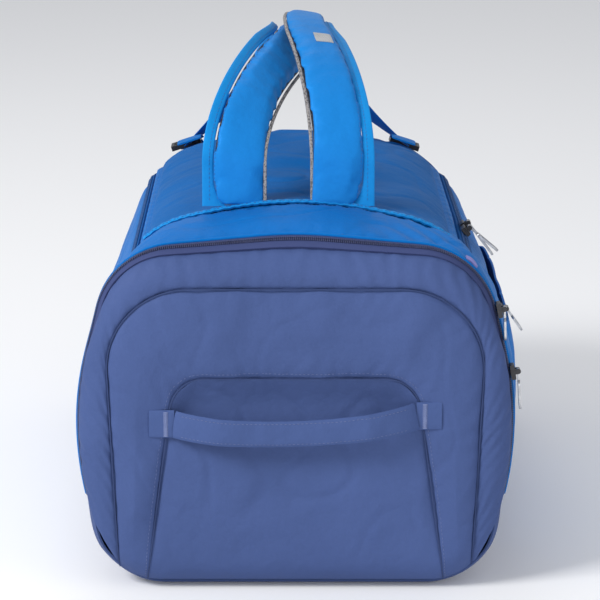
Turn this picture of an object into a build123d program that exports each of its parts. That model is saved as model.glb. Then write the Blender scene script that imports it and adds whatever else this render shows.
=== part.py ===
from build123d import *
import math
import os

os.makedirs("parts", exist_ok=True)

# A stuffed travel bag lying on its base, with a zipped boot compartment at its -Y end and
# two carrying straps over its lid. Millimetres, +Z up, origin on the floor under the middle.

# Bag body: the lowest skin is trimmed flat where the bag stands
length = 600.0
end_round = 28.0
end_steps = 4
fabric = 2.5
base_half = 163.0
base_radius = 62.0
base_trim = 0.2
belly_z = 150.0
belly_radius = 300.0
arc_room = 0.999
crown_radius = 330.0
compartment_depth = 110.0
full_setback = 160.0

# Cross-sections: belly and shoulder half widths, shoulder height and radius, crown height
near_section = (193.0, 158.0, 298.0, 62.0, 306.0)
full_section = (200.0, 156.0, 292.0, 110.0, 326.0)
far_section = (190.0, 142.0, 270.0, 70.0, 290.0)

# Panels
base_height = 80.0
seam_gap = 0.5
band_half = 138.0
band_width = 9.0
far_setback = 38.0
far_corner = 45.0
board_inset = 58.0
board_thick = 4.0
board_margin = 8.0
board_corner = 20.0

# Zips
tape_width = 4.5
coil_width = 1.6
coil_proud = 1.3
end_zip_setback = 20.0
end_tape_width = 8.0

# End flap: the arch seam, and the hollow behind the grab handle
arch_half = 163.0
arch_top = 268.0
arch_radius = 70.0
hollow_foot = 128.0
hollow_head = 103.0
hollow_top = 190.0
hollow_radius = 30.0

# Grab handles
grip_span = 204.0
grip_height = 24.0
grip_thick = 4.0
grip_bow = 13.0
grip_ramp = 42.0
grip_radius = 20.0
grip_rest = 0.6
near_grip_z = 148.0
far_grip_z = 165.0
tab_length = 20.0
tab_thick = 3.0
tack_width = 4.0
tack_thick = 0.8

# Carrying straps: an arch from a root on the lid's near seam to its far end
strap_width = 46.0
strap_thick = 8.0
strap_steps = 8
strap_end_turn = 158.0
lining_thick = 2.5
lining_margin = 2.0
flange_width = 9.0
flange_thick = 2.0
strap_root_setback = 10.0
strap_root_z = 350.0
left_root_x = -54.0
right_root_x = 42.0
left_crest = (-4.0, 434.0, 42.0)
right_crest = (13.5, 451.0, 11.0)
crest_soft = 0.2
far_dip = 1.35
left_spread = 50.0
right_spread = 37.0
root_width = 55.0
root_thick = 4.0
anchor_x = 110.0
anchor_setback = 17.0
anchor_rise = 16.0
webbing_width = 25.0
webbing_thick = 2.0
webbing_clearance = 5.0
anchor_length = 28.0
lock_length = 20.0
lock_width = 31.0
lock_thick = 5.0
lock_slot = 4.0
patch_long = 20.0
patch_wide = 14.0
patch_thick = 0.8
patch_turn = 59.0

# Sliders and pullers
slider_long = 13.0
slider_wide = 9.0
slider_thick = 4.0
slider_lift = 0.6
pin_radius = 0.8
eye_clearance = 0.3
eye_wall = 1.1
eye_width = 4.0
lug_clearance = 0.4
lug_thick = 1.2
neck_length = 8.5
puller_wide = 9.0
puller_thick = 1.8
puller_slot = 4.0

# Each zip's slider: name, place (along the zip, or its angle on the arch), droop of its puller
# in degrees, length of its puller
main_sliders = (("main_near", 86.0, 40.0, 33.0), ("main_far", 106.0, 53.0, 37.0))
end_upper_slider = ("end_upper", 12.0, 88.0, 27.0)
end_lower_slider = ("end_lower", 9.0, 86.0, 33.0)
pocket_slider = ("pocket", 32.0, 55.0, 24.0)

# Side pocket
pocket_near_setback = 8.0
pocket_far_setback = 170.0
pocket_bottom = 46.0
pocket_top = 206.0
pocket_corner = 30.0
pocket_proud = 9.0
pocket_wall = 2.0
pocket_hem = 7.0
pocket_zip_width = 11.0

# Tabs beside the zips
garage_setback = 22.0
garage_x = 140.0
garage_size = (22.0, 18.0, 4.0)
small_tab_setback = 18.0
small_tab_x = 148.0
small_tab_size = (12.0, 9.0, 2.0)

# Places along the bag, from its ends and from the lid's seam
end_zip_y = end_zip_setback - length / 2
hinge_y = compartment_depth - length / 2
full_y = length / 2 - full_setback
far_edge = length / 2 - far_setback
strap_root_y = hinge_y + strap_root_setback
anchor_y = far_edge - anchor_setback
pocket_near = hinge_y + pocket_near_setback
pocket_far = length / 2 - pocket_far_setback
garage_y = hinge_y - garage_setback
small_tab_y = end_zip_y + small_tab_setback

board_half = base_half - board_inset
zip_line = band_width + tape_width
tape_outer = zip_line + tape_width
far_tape = far_edge - band_width + tape_outer
end_seam = end_zip_y - end_tape_width
flap_foot = base_height + seam_gap


def save(piece, name):
    """Label a finished piece and write it under its own name."""
    piece.label = name
    export_step(piece, f"parts/{name}.step")


def section_at(y):
    """Section values at y, straight between the stations."""
    if y < hinge_y:
        share = (y + length / 2) / (hinge_y + length / 2)
        pair = (near_section, full_section)
    else:
        share = max(0.0, (y - full_y) / (length / 2 - full_y))
        pair = (full_section, far_section)
    return [a + (b - a) * share for a, b in zip(*pair)]


def corner_arc(before, corner, after, radius):
    """Centre of the arc that rounds a corner of the cross-section."""
    into = math.atan2(corner[1] - before[1], corner[0] - before[0])
    out = math.atan2(after[1] - corner[1], after[0] - corner[0])
    reach = radius / math.cos((out - into) / 2)
    toward = (into + out) / 2 + math.pi / 2
    return corner[0] + reach * math.cos(toward), corner[1] + reach * math.sin(toward)


def tangent_share(before, corner, after):
    """Length that a corner's arc takes from each side, for each millimetre of its radius."""
    into = math.atan2(corner[1] - before[1], corner[0] - before[0])
    out = math.atan2(after[1] - corner[1], after[0] - corner[0])
    return math.tan((out - into) / 2)


def belly_bend(y):
    """Radius of the flank's arc at y, as large as the arcs above and below leave room for."""
    belly, shoulder, shoulder_z, radius, crown = section_at(y)
    foot = (base_half, -base_trim)
    corner = (belly, belly_z)
    top = (shoulder, shoulder_z)
    below = math.dist(foot, corner) - base_radius * tangent_share((0, -base_trim), foot, corner)
    above = math.dist(corner, top) - radius * tangent_share(corner, top, (0, crown))
    return min(belly_radius, arc_room * min(below, above) / tangent_share(foot, corner, top))


def shoulder_arc(y):
    """Centre and radius of the right shoulder's arc at y."""
    belly, shoulder, shoulder_z, radius, crown = section_at(y)
    corner = (shoulder, shoulder_z)
    return *corner_arc((belly, belly_z), corner, (0, crown), radius), radius


def belly_arc(y):
    """Centre and radius of the right flank's arc at y."""
    belly, shoulder, shoulder_z, _, _ = section_at(y)
    corner = (belly, belly_z)
    foot = (base_half, -base_trim)
    radius = belly_bend(y)
    return *corner_arc(foot, corner, (shoulder, shoulder_z), radius), radius


def shoulder_angle(y, x):
    """How far up the right shoulder's arc a plan distance x from the middle lies, in degrees."""
    centre_x, _, radius = shoulder_arc(y)
    return math.degrees(math.acos((x - centre_x) / radius))


def arc_point(arc, angle, proud=0.0):
    """Point (x, z) on an arc of the cross-section, standing proud of it."""
    centre_x, centre_z, radius = arc
    turn = math.radians(angle)
    reach = radius + proud
    return centre_x + reach * math.cos(turn), centre_z + reach * math.sin(turn)


def flank_point(y, z):
    """Plan distance of the straight upper flank at height z, and its normal's angle."""
    belly, shoulder, shoulder_z, _, _ = section_at(y)
    lean = (belly - shoulder) / (shoulder_z - belly_z)
    return belly - lean * (z - belly_z), math.degrees(math.atan(lean))


def bag_outline(y, shrink):
    """Closed cross-section of the bag at y, drawn in from the outside by shrink."""
    belly, shoulder, shoulder_z, radius, crown = section_at(y)
    flank_radius = belly_bend(y)
    with BuildSketch() as section:
        with BuildLine():
            FilletPolyline(
                (-base_half, -base_trim),
                (base_half, -base_trim),
                (belly, belly_z),
                (shoulder, shoulder_z),
                (0, crown),
                (-shoulder, shoulder_z),
                (-belly, belly_z),
                radius=[
                    base_radius,
                    base_radius,
                    flank_radius,
                    radius,
                    crown_radius,
                    radius,
                    flank_radius,
                ],
                close=True,
            )
        make_face()
        if shrink:
            offset(amount=-shrink)
    return section.sketch


def body_form(inset):
    """The stuffed bag as one solid, shrunk by inset or grown by a negative one."""
    rounding = end_round - inset
    turns = [math.radians(90 - 90 * step / end_steps) for step in range(end_steps + 1)]
    ends = [
        (length / 2 - end_round + rounding * math.sin(turn), rounding * (1 - math.cos(turn)))
        for turn in turns
    ]
    stations = [(-y, drawn_in) for y, drawn_in in ends]
    stations += [(hinge_y, 0), (full_y, 0)]
    stations += [(y, drawn_in) for y, drawn_in in reversed(ends)]
    with BuildPart() as form:
        for y, drawn_in in stations:
            with BuildSketch(Plane.XZ.offset(-y)):
                add(bag_outline(y, inset + drawn_in))
        loft(ruled=True)
    return form.part


def skin(outer, inner):
    """The layer of the bag between two depths."""
    with BuildPart() as layer:
        add(body_form(outer))
        add(body_form(inner), mode=Mode.SUBTRACT)
    return layer.part


def lid_outline(past):
    """U-shaped plan of the lid, out to a distance past the seam of its band."""
    half = band_half + past
    far = far_edge - band_width + past
    with BuildSketch() as plan:
        with BuildLine():
            FilletPolyline(
                (-half, hinge_y), (-half, far), (half, far), (half, hinge_y), radius=far_corner
            )
            Line((half, hinge_y), (-half, hinge_y))
        make_face()
    return plan.sketch


def lid_ring(source, outer, inner=None):
    """The part of a layer between two U-shaped plans."""
    with BuildPart() as ring:
        add(source)
        with BuildSketch(Plane.XY.offset(base_height)):
            add(lid_outline(outer))
            if inner is not None:
                add(lid_outline(inner), mode=Mode.SUBTRACT)
        extrude(amount=length, mode=Mode.INTERSECT)
    return ring.part


def stretch(source, near, far, low=base_height, high=length, left=-length, right=length):
    """The part of a layer inside a plain block."""
    with BuildPart() as piece:
        add(source)
        with BuildSketch(Plane.XY.offset(low)):
            with BuildLine():
                Polyline((left, near), (right, near), (right, far), (left, far), close=True)
            make_face()
        extrude(amount=high - low, mode=Mode.INTERSECT)
    return piece.part


shell = skin(0, fabric)
proud_layer = skin(-coil_proud, 0)

# Body panels: navy base, blue flanks, far end, and the blue saddle over the boot compartment
save(stretch(shell, hinge_y, length, low=0, high=base_height), "base_panel")
save(stretch(shell, -length, hinge_y, low=0, high=base_height), "end_base_panel")
save(stretch(shell, end_zip_y + end_tape_width, hinge_y - seam_gap), "saddle_panel")
save(stretch(shell, far_tape, length), "far_end_panel")

for name, left, right in (("side_panel_left", -length, 0), ("side_panel_right", 0, length)):
    with BuildPart() as side_panel:
        add(stretch(shell, hinge_y, far_tape, left=left, right=right))
        with BuildSketch(Plane.XY.offset(base_height)):
            add(lid_outline(tape_outer))
        extrude(amount=length, mode=Mode.SUBTRACT)
    save(side_panel.part, name)

with BuildPart() as divider_panel:
    add(body_form(fabric))
    with BuildSketch(Plane.XZ.offset(-hinge_y + seam_gap)):
        Rectangle(length, 2 * length)
    extrude(amount=fabric, mode=Mode.INTERSECT)
save(divider_panel.part, "divider_panel")

with BuildPart() as base_board:
    with BuildSketch(Plane.XY.offset(fabric - base_trim)):
        with BuildLine():
            FilletPolyline(
                (-board_half, hinge_y + board_margin),
                (board_half, hinge_y + board_margin),
                (board_half, far_tape - board_margin),
                (-board_half, far_tape - board_margin),
                radius=board_corner,
                close=True,
            )
        make_face()
    extrude(amount=board_thick)
save(base_board.part, "base_board")

# Lid: top panel, the band sewn round its edge, and both halves of the main zip
save(lid_ring(shell, 0), "lid_panel")
save(lid_ring(shell, band_width, 0), "lid_band")
save(lid_ring(shell, zip_line - seam_gap / 2, band_width), "main_zip_lid_tape")
save(lid_ring(shell, tape_outer, zip_line + seam_gap / 2), "main_zip_body_tape")
lid_coil_edge = zip_line - seam_gap / 2
body_coil_edge = zip_line + seam_gap / 2
save(lid_ring(proud_layer, lid_coil_edge, lid_coil_edge - coil_width), "main_zip_lid_coil")
save(lid_ring(proud_layer, body_coil_edge + coil_width, body_coil_edge), "main_zip_body_coil")

# End zip: one half on the saddle, the other on the flap
body_zip_edge = end_zip_y + seam_gap / 2
flap_zip_edge = end_zip_y - seam_gap / 2
save(stretch(shell, body_zip_edge, end_zip_y + end_tape_width), "end_zip_body_tape")
save(stretch(proud_layer, body_zip_edge, body_zip_edge + coil_width), "end_zip_body_coil")
save(stretch(shell, end_seam, flap_zip_edge, low=flap_foot), "end_zip_flap_tape")
save(stretch(proud_layer, flap_zip_edge - coil_width, flap_zip_edge, low=flap_foot), "end_zip_flap_coil")

# End flap: outer ring, middle panel, and the hollow behind the grab handle
with BuildSketch(Plane.XZ) as arch:
    with BuildLine():
        FilletPolyline(
            (-arch_half, 0),
            (-arch_half, arch_top),
            (arch_half, arch_top),
            (arch_half, 0),
            radius=arch_radius,
        )
        Line((arch_half, 0), (-arch_half, 0))
    make_face()

with BuildSketch(Plane.XZ) as hollow:
    with BuildLine():
        FilletPolyline(
            (-hollow_foot, 0),
            (-hollow_head, hollow_top),
            (hollow_head, hollow_top),
            (hollow_foot, 0),
            radius=hollow_radius,
        )
        Line((hollow_foot, 0), (-hollow_foot, 0))
    make_face()

flap_shell = stretch(shell, -length, end_seam, low=flap_foot)

with BuildPart() as end_flap_ring:
    add(flap_shell)
    extrude(arch.sketch, amount=length, mode=Mode.SUBTRACT)
save(end_flap_ring.part, "end_flap_ring")

with BuildPart() as end_flap_middle:
    add(flap_shell)
    extrude(arch.sketch, amount=length, mode=Mode.INTERSECT)
    extrude(hollow.sketch, amount=length, mode=Mode.SUBTRACT)
save(end_flap_middle.part, "end_flap_middle")

with BuildPart() as end_flap_hollow:
    add(flap_shell)
    extrude(hollow.sketch, amount=length, mode=Mode.INTERSECT)
save(end_flap_hollow.part, "end_flap_hollow")


def grab_handle(side, z, name):
    """Flat fabric handle bowed off an end wall, with its two sewn tabs and their bartacks."""
    wall = side * length / 2
    half = grip_span / 2
    rest = wall + side * grip_rest
    crest = rest + side * grip_bow
    with BuildPart() as grip:
        with BuildSketch(Plane.XY.offset(z - grip_height / 2)):
            with BuildLine():
                line = FilletPolyline(
                    (-half, rest),
                    (-half + grip_ramp, crest),
                    (half - grip_ramp, crest),
                    (half, rest),
                    radius=grip_radius,
                )
                outer = FilletPolyline(
                    (-half, rest + side * grip_thick),
                    (-half + grip_ramp, crest + side * grip_thick),
                    (half - grip_ramp, crest + side * grip_thick),
                    (half, rest + side * grip_thick),
                    radius=grip_radius,
                )
                Line(line @ 0, outer @ 0)
                Line(line @ 1, outer @ 1)
            make_face()
        extrude(amount=grip_height)
    save(grip.part, f"{name}_handle")

    first_tab = half + seam_gap + tab_length / 2
    with BuildPart() as tabs:
        with BuildSketch(Plane.XZ.offset(-wall)):
            with Locations((-first_tab, z), (first_tab, z)):
                Rectangle(tab_length, grip_height)
        extrude(amount=-side * tab_thick)
    save(tabs.part, f"{name}_handle_tabs")

    with BuildPart() as tacks:
        with BuildSketch(Plane.XZ.offset(-wall - side * tab_thick)):
            with Locations((-first_tab, z), (first_tab, z)):
                Rectangle(tack_width, grip_height)
        extrude(amount=-side * tack_thick)
    save(tacks.part, f"{name}_handle_bartacks")


grab_handle(-1, near_grip_z, "end")
grab_handle(1, far_grip_z, "far")


def strap_plane(root_x, crest, spread, turn):
    """Cross-section plane of a strap: x across it, y to its underside, z along it."""
    crest_x, crest_z, bank = crest
    angle = math.radians(turn)
    if turn < 90:
        reach = root_x - crest_x
        blend = math.hypot(math.cos(angle), crest_soft)
        full_blend = math.hypot(1, crest_soft) - crest_soft
        aside = reach * (blend - crest_soft) / full_blend
        drift = -reach * math.cos(angle) * math.sin(angle) / blend / full_blend
    else:
        reach = math.copysign(spread, root_x)
        aside = reach * (1 - math.sin(angle))
        drift = -reach * math.cos(angle)
    rise = crest_z - strap_root_z
    dip = far_dip if turn > 90 else 1.0
    place = Vector(
        crest_x + aside,
        strap_root_y * math.cos(angle),
        strap_root_z + rise * math.sin(angle) ** dip,
    )
    along = Vector(
        drift,
        -strap_root_y * math.sin(angle),
        rise * dip * math.sin(angle) ** (dip - 1) * math.cos(angle),
    ).normalized()
    across = (Vector(1, 0, 0) - along * along.X).normalized()
    across = across.rotate(Axis((0, 0, 0), tuple(along)), bank * math.sin(angle))
    return Plane(origin=place, x_dir=across, z_dir=along)


def strap_layer(planes, near_x, far_x, top, under):
    """One layer of a strap: a flat bar lofted through the strap's planes."""
    with BuildPart() as layer:
        for plane in planes:
            with BuildSketch(plane):
                with BuildLine():
                    Polyline((near_x, top), (far_x, top), (far_x, under), (near_x, under), close=True)
                make_face()
        loft(ruled=True)
    return layer.part


def anchor_plane(side):
    """Tangent plane of the lid where a strap's far end is sewn: x across, y along the bag."""
    angle = shoulder_angle(anchor_y, anchor_x)
    x, z = arc_point(shoulder_arc(anchor_y), angle)
    turn = math.radians(angle)
    normal = (side * math.cos(turn), 0, math.sin(turn))
    downhill = (math.sin(turn), 0, -side * math.cos(turn))
    return Plane(origin=(side * x, anchor_y, z), x_dir=downhill, z_dir=normal)


def carrying_strap(side, root_x, crest, spread, name):
    """Padded strap with its lining, edge flange, tail webbing, root plate and anchor."""
    turns = [strap_end_turn * step / strap_steps for step in range(strap_steps + 1)]
    planes = [strap_plane(root_x, crest, spread, turn) for turn in turns]
    outer_edge = side * (strap_width + flange_width) / 2
    pad_edge = outer_edge - side * flange_width
    inner_edge = -outer_edge
    half = strap_thick / 2
    save(strap_layer(planes, inner_edge, pad_edge, -half, half), f"strap_{name}_pad")
    lining_in = inner_edge + side * lining_margin
    lining_out = pad_edge - side * lining_margin
    save(strap_layer(planes, lining_in, lining_out, half, half + lining_thick), f"strap_{name}_lining")
    save(strap_layer(planes, pad_edge, outer_edge, half - flange_thick, half), f"strap_{name}_flange")

    seat = anchor_plane(side)
    end_plane = planes[-1]
    webbing_end = Plane(
        origin=seat.origin + Vector(0, -lock_length / 2 - webbing_clearance, anchor_rise),
        x_dir=(1, 0, 0),
        z_dir=(0, 1, 0),
    )
    with BuildPart() as webbing:
        for plane in (end_plane, webbing_end):
            with BuildSketch(plane):
                Rectangle(webbing_width, webbing_thick)
        loft(ruled=True)
    save(webbing.part, f"strap_{name}_webbing")

    with BuildPart() as root:
        with BuildSketch(Plane.XZ.offset(-hinge_y - seam_gap)):
            with Locations((root_x, strap_root_z)):
                Rectangle(root_width, strap_root_z - belly_z, align=(Align.CENTER, Align.MAX))
        extrude(amount=-root_thick)
        add(body_form(0), mode=Mode.SUBTRACT)
    save(root.part, f"strap_{name}_root")

    with BuildPart() as anchor:
        with BuildSketch(seat):
            with Locations((0, lock_length / 2)):
                Rectangle(webbing_width, anchor_length)
        extrude(amount=webbing_thick)
        add(body_form(0), mode=Mode.SUBTRACT)
    save(anchor.part, f"strap_{name}_anchor")

    with BuildPart() as lock:
        with BuildSketch(seat.offset(webbing_thick)):
            Rectangle(lock_width, lock_length)
            with Locations((0, -lock_slot), (0, lock_slot)):
                Rectangle(webbing_width, lock_slot, mode=Mode.SUBTRACT)
        extrude(amount=lock_thick)
    save(lock.part, f"strap_{name}_lock")


carrying_strap(-1, left_root_x, left_crest, left_spread, "left")
carrying_strap(1, right_root_x, right_crest, right_spread, "right")

# Plain reflective patch on the outer face of the right strap
patch_seat = strap_plane(right_root_x, right_crest, right_spread, patch_turn)
with BuildPart() as patch:
    with BuildSketch(Plane(
        origin=patch_seat.origin - patch_seat.y_dir * (strap_thick / 2 + patch_thick / 2),
        x_dir=patch_seat.x_dir,
        z_dir=-patch_seat.y_dir,
    )):
        Rectangle(patch_long, patch_wide)
    extrude(amount=patch_thick)
save(patch.part, "strap_right_patch")


def pocket_window(hem, top):
    """Outline of the side pocket seen from the side, drawn in by a hem, with its own top."""
    near = pocket_near + hem
    far = pocket_far - hem
    bottom = pocket_bottom + hem
    with BuildSketch() as window:
        with BuildLine():
            FilletPolyline((near, top), (near, bottom), (far, bottom), (far, top), radius=pocket_corner)
            Line((far, top), (near, top))
        make_face()
    return window.sketch


# Side pocket on the right flank: a hollow pouch, open along its top under the pocket zip
with BuildPart() as side_pocket:
    add(skin(-pocket_proud, 0))
    with BuildSketch(Plane.YZ):
        add(pocket_window(0, pocket_top))
    extrude(amount=length, mode=Mode.INTERSECT)
with BuildPart() as pocket_hollow:
    add(body_form(pocket_wall - pocket_proud))
    with BuildSketch(Plane.YZ):
        add(pocket_window(pocket_hem, pocket_top + pocket_hem))
    extrude(amount=length, mode=Mode.INTERSECT)
with BuildPart() as pocket_pouch:
    add(side_pocket.part)
    add(pocket_hollow.part, mode=Mode.SUBTRACT)
save(pocket_pouch.part, "side_pocket")

with BuildPart() as pocket_zip:
    add(proud_layer)
    with BuildSketch(Plane.YZ):
        with BuildLine():
            Polyline(
                (pocket_near, pocket_top + seam_gap),
                (pocket_far, pocket_top + seam_gap),
                (pocket_far, pocket_top + pocket_zip_width),
                (pocket_near, pocket_top + pocket_zip_width),
                close=True,
            )
        make_face()
    extrude(amount=length, mode=Mode.INTERSECT)
save(pocket_zip.part, "pocket_zip")


def shoulder_tab(y, x, size, name):
    """Small folded tab sewn flat on the right shoulder."""
    angle = shoulder_angle(y, x)
    tab_x, tab_z = arc_point(shoulder_arc(y), angle)
    turn = math.radians(angle)
    seat = Plane(
        origin=(tab_x, y, tab_z),
        x_dir=(math.sin(turn), 0, -math.cos(turn)),
        z_dir=(math.cos(turn), 0, math.sin(turn)),
    )
    long, wide, thick = size
    with BuildPart() as tab:
        with BuildSketch(seat.offset(-thick)):
            Rectangle(long, wide)
        extrude(amount=2 * thick)
        add(body_form(0), mode=Mode.SUBTRACT)
    save(tab.part, name)


shoulder_tab(garage_y, garage_x, garage_size, "zip_garage")
shoulder_tab(small_tab_y, small_tab_x, small_tab_size, "end_zip_tab")


def zip_slider(y, x, z, angle, along, puller_drop, puller_long, name):
    """Slider with two lugs and a pin along Y, and the slotted puller that turns on the pin."""
    across = slider_long if along == "arch" else slider_wide
    depth = slider_wide if along == "arch" else slider_long
    turn = math.radians(angle)
    seat = Plane(origin=(x, y, z), x_dir=(math.sin(turn), 0, -math.cos(turn)), z_dir=(0, -1, 0))
    eye_radius = pin_radius + eye_clearance + eye_wall
    top = slider_lift + slider_thick
    pin_height = top + eye_radius + lug_clearance
    lug_near = eye_width / 2 + lug_clearance
    with BuildPart() as slider:
        with BuildSketch(seat):
            with Locations((0, slider_lift)):
                Rectangle(across, slider_thick, align=(Align.CENTER, Align.MIN))
        extrude(amount=depth / 2, both=True)
        fillet(slider.edges().filter_by(Axis.Y), slider_thick / 4)
        for lug_side in (-1, 1):
            with BuildSketch(seat.offset(lug_side * lug_near)):
                with Locations((0, top)):
                    Rectangle(2 * eye_radius, pin_height - top, align=(Align.CENTER, Align.MIN))
                with Locations((0, pin_height)):
                    Circle(eye_radius)
            extrude(amount=lug_side * lug_thick)
        with BuildSketch(seat):
            with Locations((0, pin_height)):
                Circle(pin_radius)
        extrude(amount=lug_near + lug_thick / 2, both=True)
    save(slider.part, f"{name}_slider")

    pin = Vector(x + pin_height * math.cos(turn), y, z + pin_height * math.sin(turn))
    drop = math.radians(puller_drop)
    hang = Vector(math.cos(drop), 0, -math.sin(drop))
    face = Vector(math.sin(drop), 0, math.cos(drop))
    blade = Plane(origin=pin - face * (puller_thick / 2), x_dir=hang, z_dir=face)
    with BuildPart() as puller:
        with BuildSketch(blade):
            Rectangle(neck_length, eye_width, align=(Align.MIN, Align.CENTER))
            with Locations(((neck_length + puller_long) / 2, 0)):
                SlotOverall(puller_long - neck_length + eye_width / 2, puller_wide)
                SlotOverall(puller_long - neck_length - puller_wide, puller_slot, mode=Mode.SUBTRACT)
        extrude(amount=puller_thick)
        with BuildSketch(Plane(origin=pin, x_dir=hang, z_dir=(0, -1, 0))):
            Circle(eye_radius)
        extrude(amount=eye_width / 2, both=True)
        with BuildSketch(Plane(origin=pin, x_dir=hang, z_dir=(0, -1, 0))):
            Circle(pin_radius + eye_clearance)
        extrude(amount=puller_wide, both=True, mode=Mode.SUBTRACT)
    save(puller.part, f"{name}_puller")
    print(name, "pin", [round(value, 2) for value in tuple(pin)])


zip_x = band_half + zip_line
for name, past_seam, puller_drop, puller_long in main_sliders:
    y = hinge_y + past_seam
    angle = shoulder_angle(y, zip_x)
    x, z = arc_point(shoulder_arc(y), angle, coil_proud)
    zip_slider(y, x, z, angle, "side", puller_drop, puller_long, name)

rounding_drop = end_round - math.sqrt(end_round**2 - (length / 2 - end_round + end_zip_y) ** 2)
for arc, (name, angle, puller_drop, puller_long) in (
    (shoulder_arc(end_zip_y), end_upper_slider),
    (belly_arc(end_zip_y), end_lower_slider),
):
    x, z = arc_point(arc, angle, coil_proud - rounding_drop)
    zip_slider(end_zip_y, x, z, angle, "arch", puller_drop, puller_long, name)

name, past_edge, puller_drop, puller_long = pocket_slider
y = pocket_near + past_edge
pocket_zip_z = pocket_top + (seam_gap + pocket_zip_width) / 2
x, angle = flank_point(y, pocket_zip_z)
zip_slider(y, x + coil_proud, pocket_zip_z, angle, "side", puller_drop, puller_long, name)

# Turning points of the strap joints and the arcs that the end zip's sliders follow
for side, root_x in ((-1, left_root_x), (1, right_root_x)):
    far_pivot = anchor_plane(side).origin + Vector(0, 0, anchor_rise)
    near_pivot = (root_x, strap_root_y, strap_root_z)
    print("strap pivots", near_pivot, [round(value, 2) for value in tuple(far_pivot)])
print("end zip arcs", shoulder_arc(end_zip_y), belly_arc(end_zip_y))
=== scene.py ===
import math

import bpy
import numpy as np
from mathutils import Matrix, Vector, noise


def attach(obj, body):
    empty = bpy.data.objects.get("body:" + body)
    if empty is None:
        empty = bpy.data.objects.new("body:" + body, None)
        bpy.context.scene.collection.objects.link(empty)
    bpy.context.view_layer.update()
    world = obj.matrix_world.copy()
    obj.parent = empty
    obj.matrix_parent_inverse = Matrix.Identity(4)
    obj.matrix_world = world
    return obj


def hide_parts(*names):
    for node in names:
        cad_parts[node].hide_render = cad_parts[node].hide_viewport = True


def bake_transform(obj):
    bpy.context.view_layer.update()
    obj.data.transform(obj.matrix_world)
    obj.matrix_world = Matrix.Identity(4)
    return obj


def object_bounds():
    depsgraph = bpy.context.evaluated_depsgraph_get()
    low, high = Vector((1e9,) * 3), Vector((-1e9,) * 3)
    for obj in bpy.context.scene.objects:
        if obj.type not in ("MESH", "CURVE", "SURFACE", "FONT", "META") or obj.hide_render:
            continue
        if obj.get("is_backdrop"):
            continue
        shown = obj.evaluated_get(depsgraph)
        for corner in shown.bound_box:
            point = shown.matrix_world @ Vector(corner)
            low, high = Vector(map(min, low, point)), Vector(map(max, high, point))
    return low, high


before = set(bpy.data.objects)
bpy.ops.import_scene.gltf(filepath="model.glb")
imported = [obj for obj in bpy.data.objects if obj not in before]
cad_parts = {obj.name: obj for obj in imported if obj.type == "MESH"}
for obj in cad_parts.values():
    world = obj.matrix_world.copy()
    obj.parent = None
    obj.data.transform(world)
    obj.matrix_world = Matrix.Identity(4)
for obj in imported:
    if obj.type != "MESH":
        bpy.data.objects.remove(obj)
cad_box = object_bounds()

# Camera, floor and studio light. The bag stands on a plain pale floor, lit by a large soft
# light from the upper left, a weak one from the right and one over the back.
bpy.ops.object.camera_add(location=(0, -2.616, 0.844), rotation=(math.radians(75.35), 0, 0))
camera = bpy.context.object
camera.data.lens = 170.5
camera.data.shift_x = 0.0078
camera.data.shift_y = 0.0395
bpy.context.scene.camera = camera
bpy.context.scene.view_settings.view_transform = "Standard"

for name, place, size, power in (
    ("key", (-1.9, -1.5, 2.0), 1.0, 66),
    ("side", (2.2, -1.6, 1.0), 1.6, 7),
    ("back", (-0.3, 1.6, 2.4), 1.2, 9),
    ("low", (0.2, -1.9, 0.12), 0.9, 6),
):
    facing = (Vector((0, 0, 0.2)) - Vector(place)).to_track_quat("-Z", "Y").to_euler()
    bpy.ops.object.light_add(type="AREA", location=place, rotation=facing)
    light = bpy.context.object
    light.name = name + "_light"
    light.data.size = size
    light.data.energy = power

bpy.context.scene.world = bpy.data.worlds.new("studio")
bpy.context.scene.world.use_nodes = True
sky = bpy.context.scene.world.node_tree.nodes["Background"]
sky.inputs["Color"].default_value = (0.93, 0.95, 1.0, 1)
sky.inputs["Strength"].default_value = 0.55

bpy.ops.object.select_all(action="DESELECT")
bpy.ops.mesh.primitive_circle_add(vertices=96, radius=9, fill_type="NGON")
floor = bpy.context.object
floor.name = "floor"
floor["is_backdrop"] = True
floor_paint = bpy.data.materials.new("pale_floor")
floor_paint.use_nodes = True
paint_sockets = floor_paint.node_tree.nodes["Principled BSDF"].inputs
paint_sockets["Base Color"].default_value = (0.9, 0.9, 0.9, 1)
paint_sockets["Roughness"].default_value = 0.9
paint_sockets["Emission Color"].default_value = (1, 1, 1, 1)
paint_sockets["Emission Strength"].default_value = 0.06
floor.data.materials.append(floor_paint)


# Base tub: the navy fabric that the bag stands on, turned up round its sides and its far end.
# Coated woven polyester, cut in one piece and sewn to the flanks 80 mm up.
half_long = 0.300
end_round = 0.028
hinge_y = -0.190
full_y = 0.140
seam_z = 0.080
foot = (0.163, 0.0, 0.062)
belly_z = 0.150
near_section = (0.193, 0.158, 0.298, 0.062, 0.306)
full_section = (0.200, 0.156, 0.292, 0.110, 0.326)
far_section = (0.190, 0.142, 0.270, 0.070, 0.290)
shell_wall = 0.0018
left_slump = 0.090
right_slump = 0.035
slump_z = 0.238
slump_reach = 0.054
even = np.linspace(0, 1, 801)
outlines = {}


def clamped(share):
    """A share kept between none and all."""
    return min(1.0, max(0.0, share))


def arc_height(radius, into):
    """Height of a quarter circle a distance into it."""
    return math.sqrt(max(0.0, radius**2 - into**2))


def section_at(y):
    """Belly and shoulder half widths, shoulder height and radius, and crown height at y."""
    if y < hinge_y:
        share = (y + half_long) / (hinge_y + half_long)
        pair = (near_section, full_section)
    else:
        share = max(0.0, (y - full_y) / (half_long - full_y))
        pair = (full_section, far_section)
    return [a + (b - a) * share for a, b in zip(*pair)]


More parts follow.
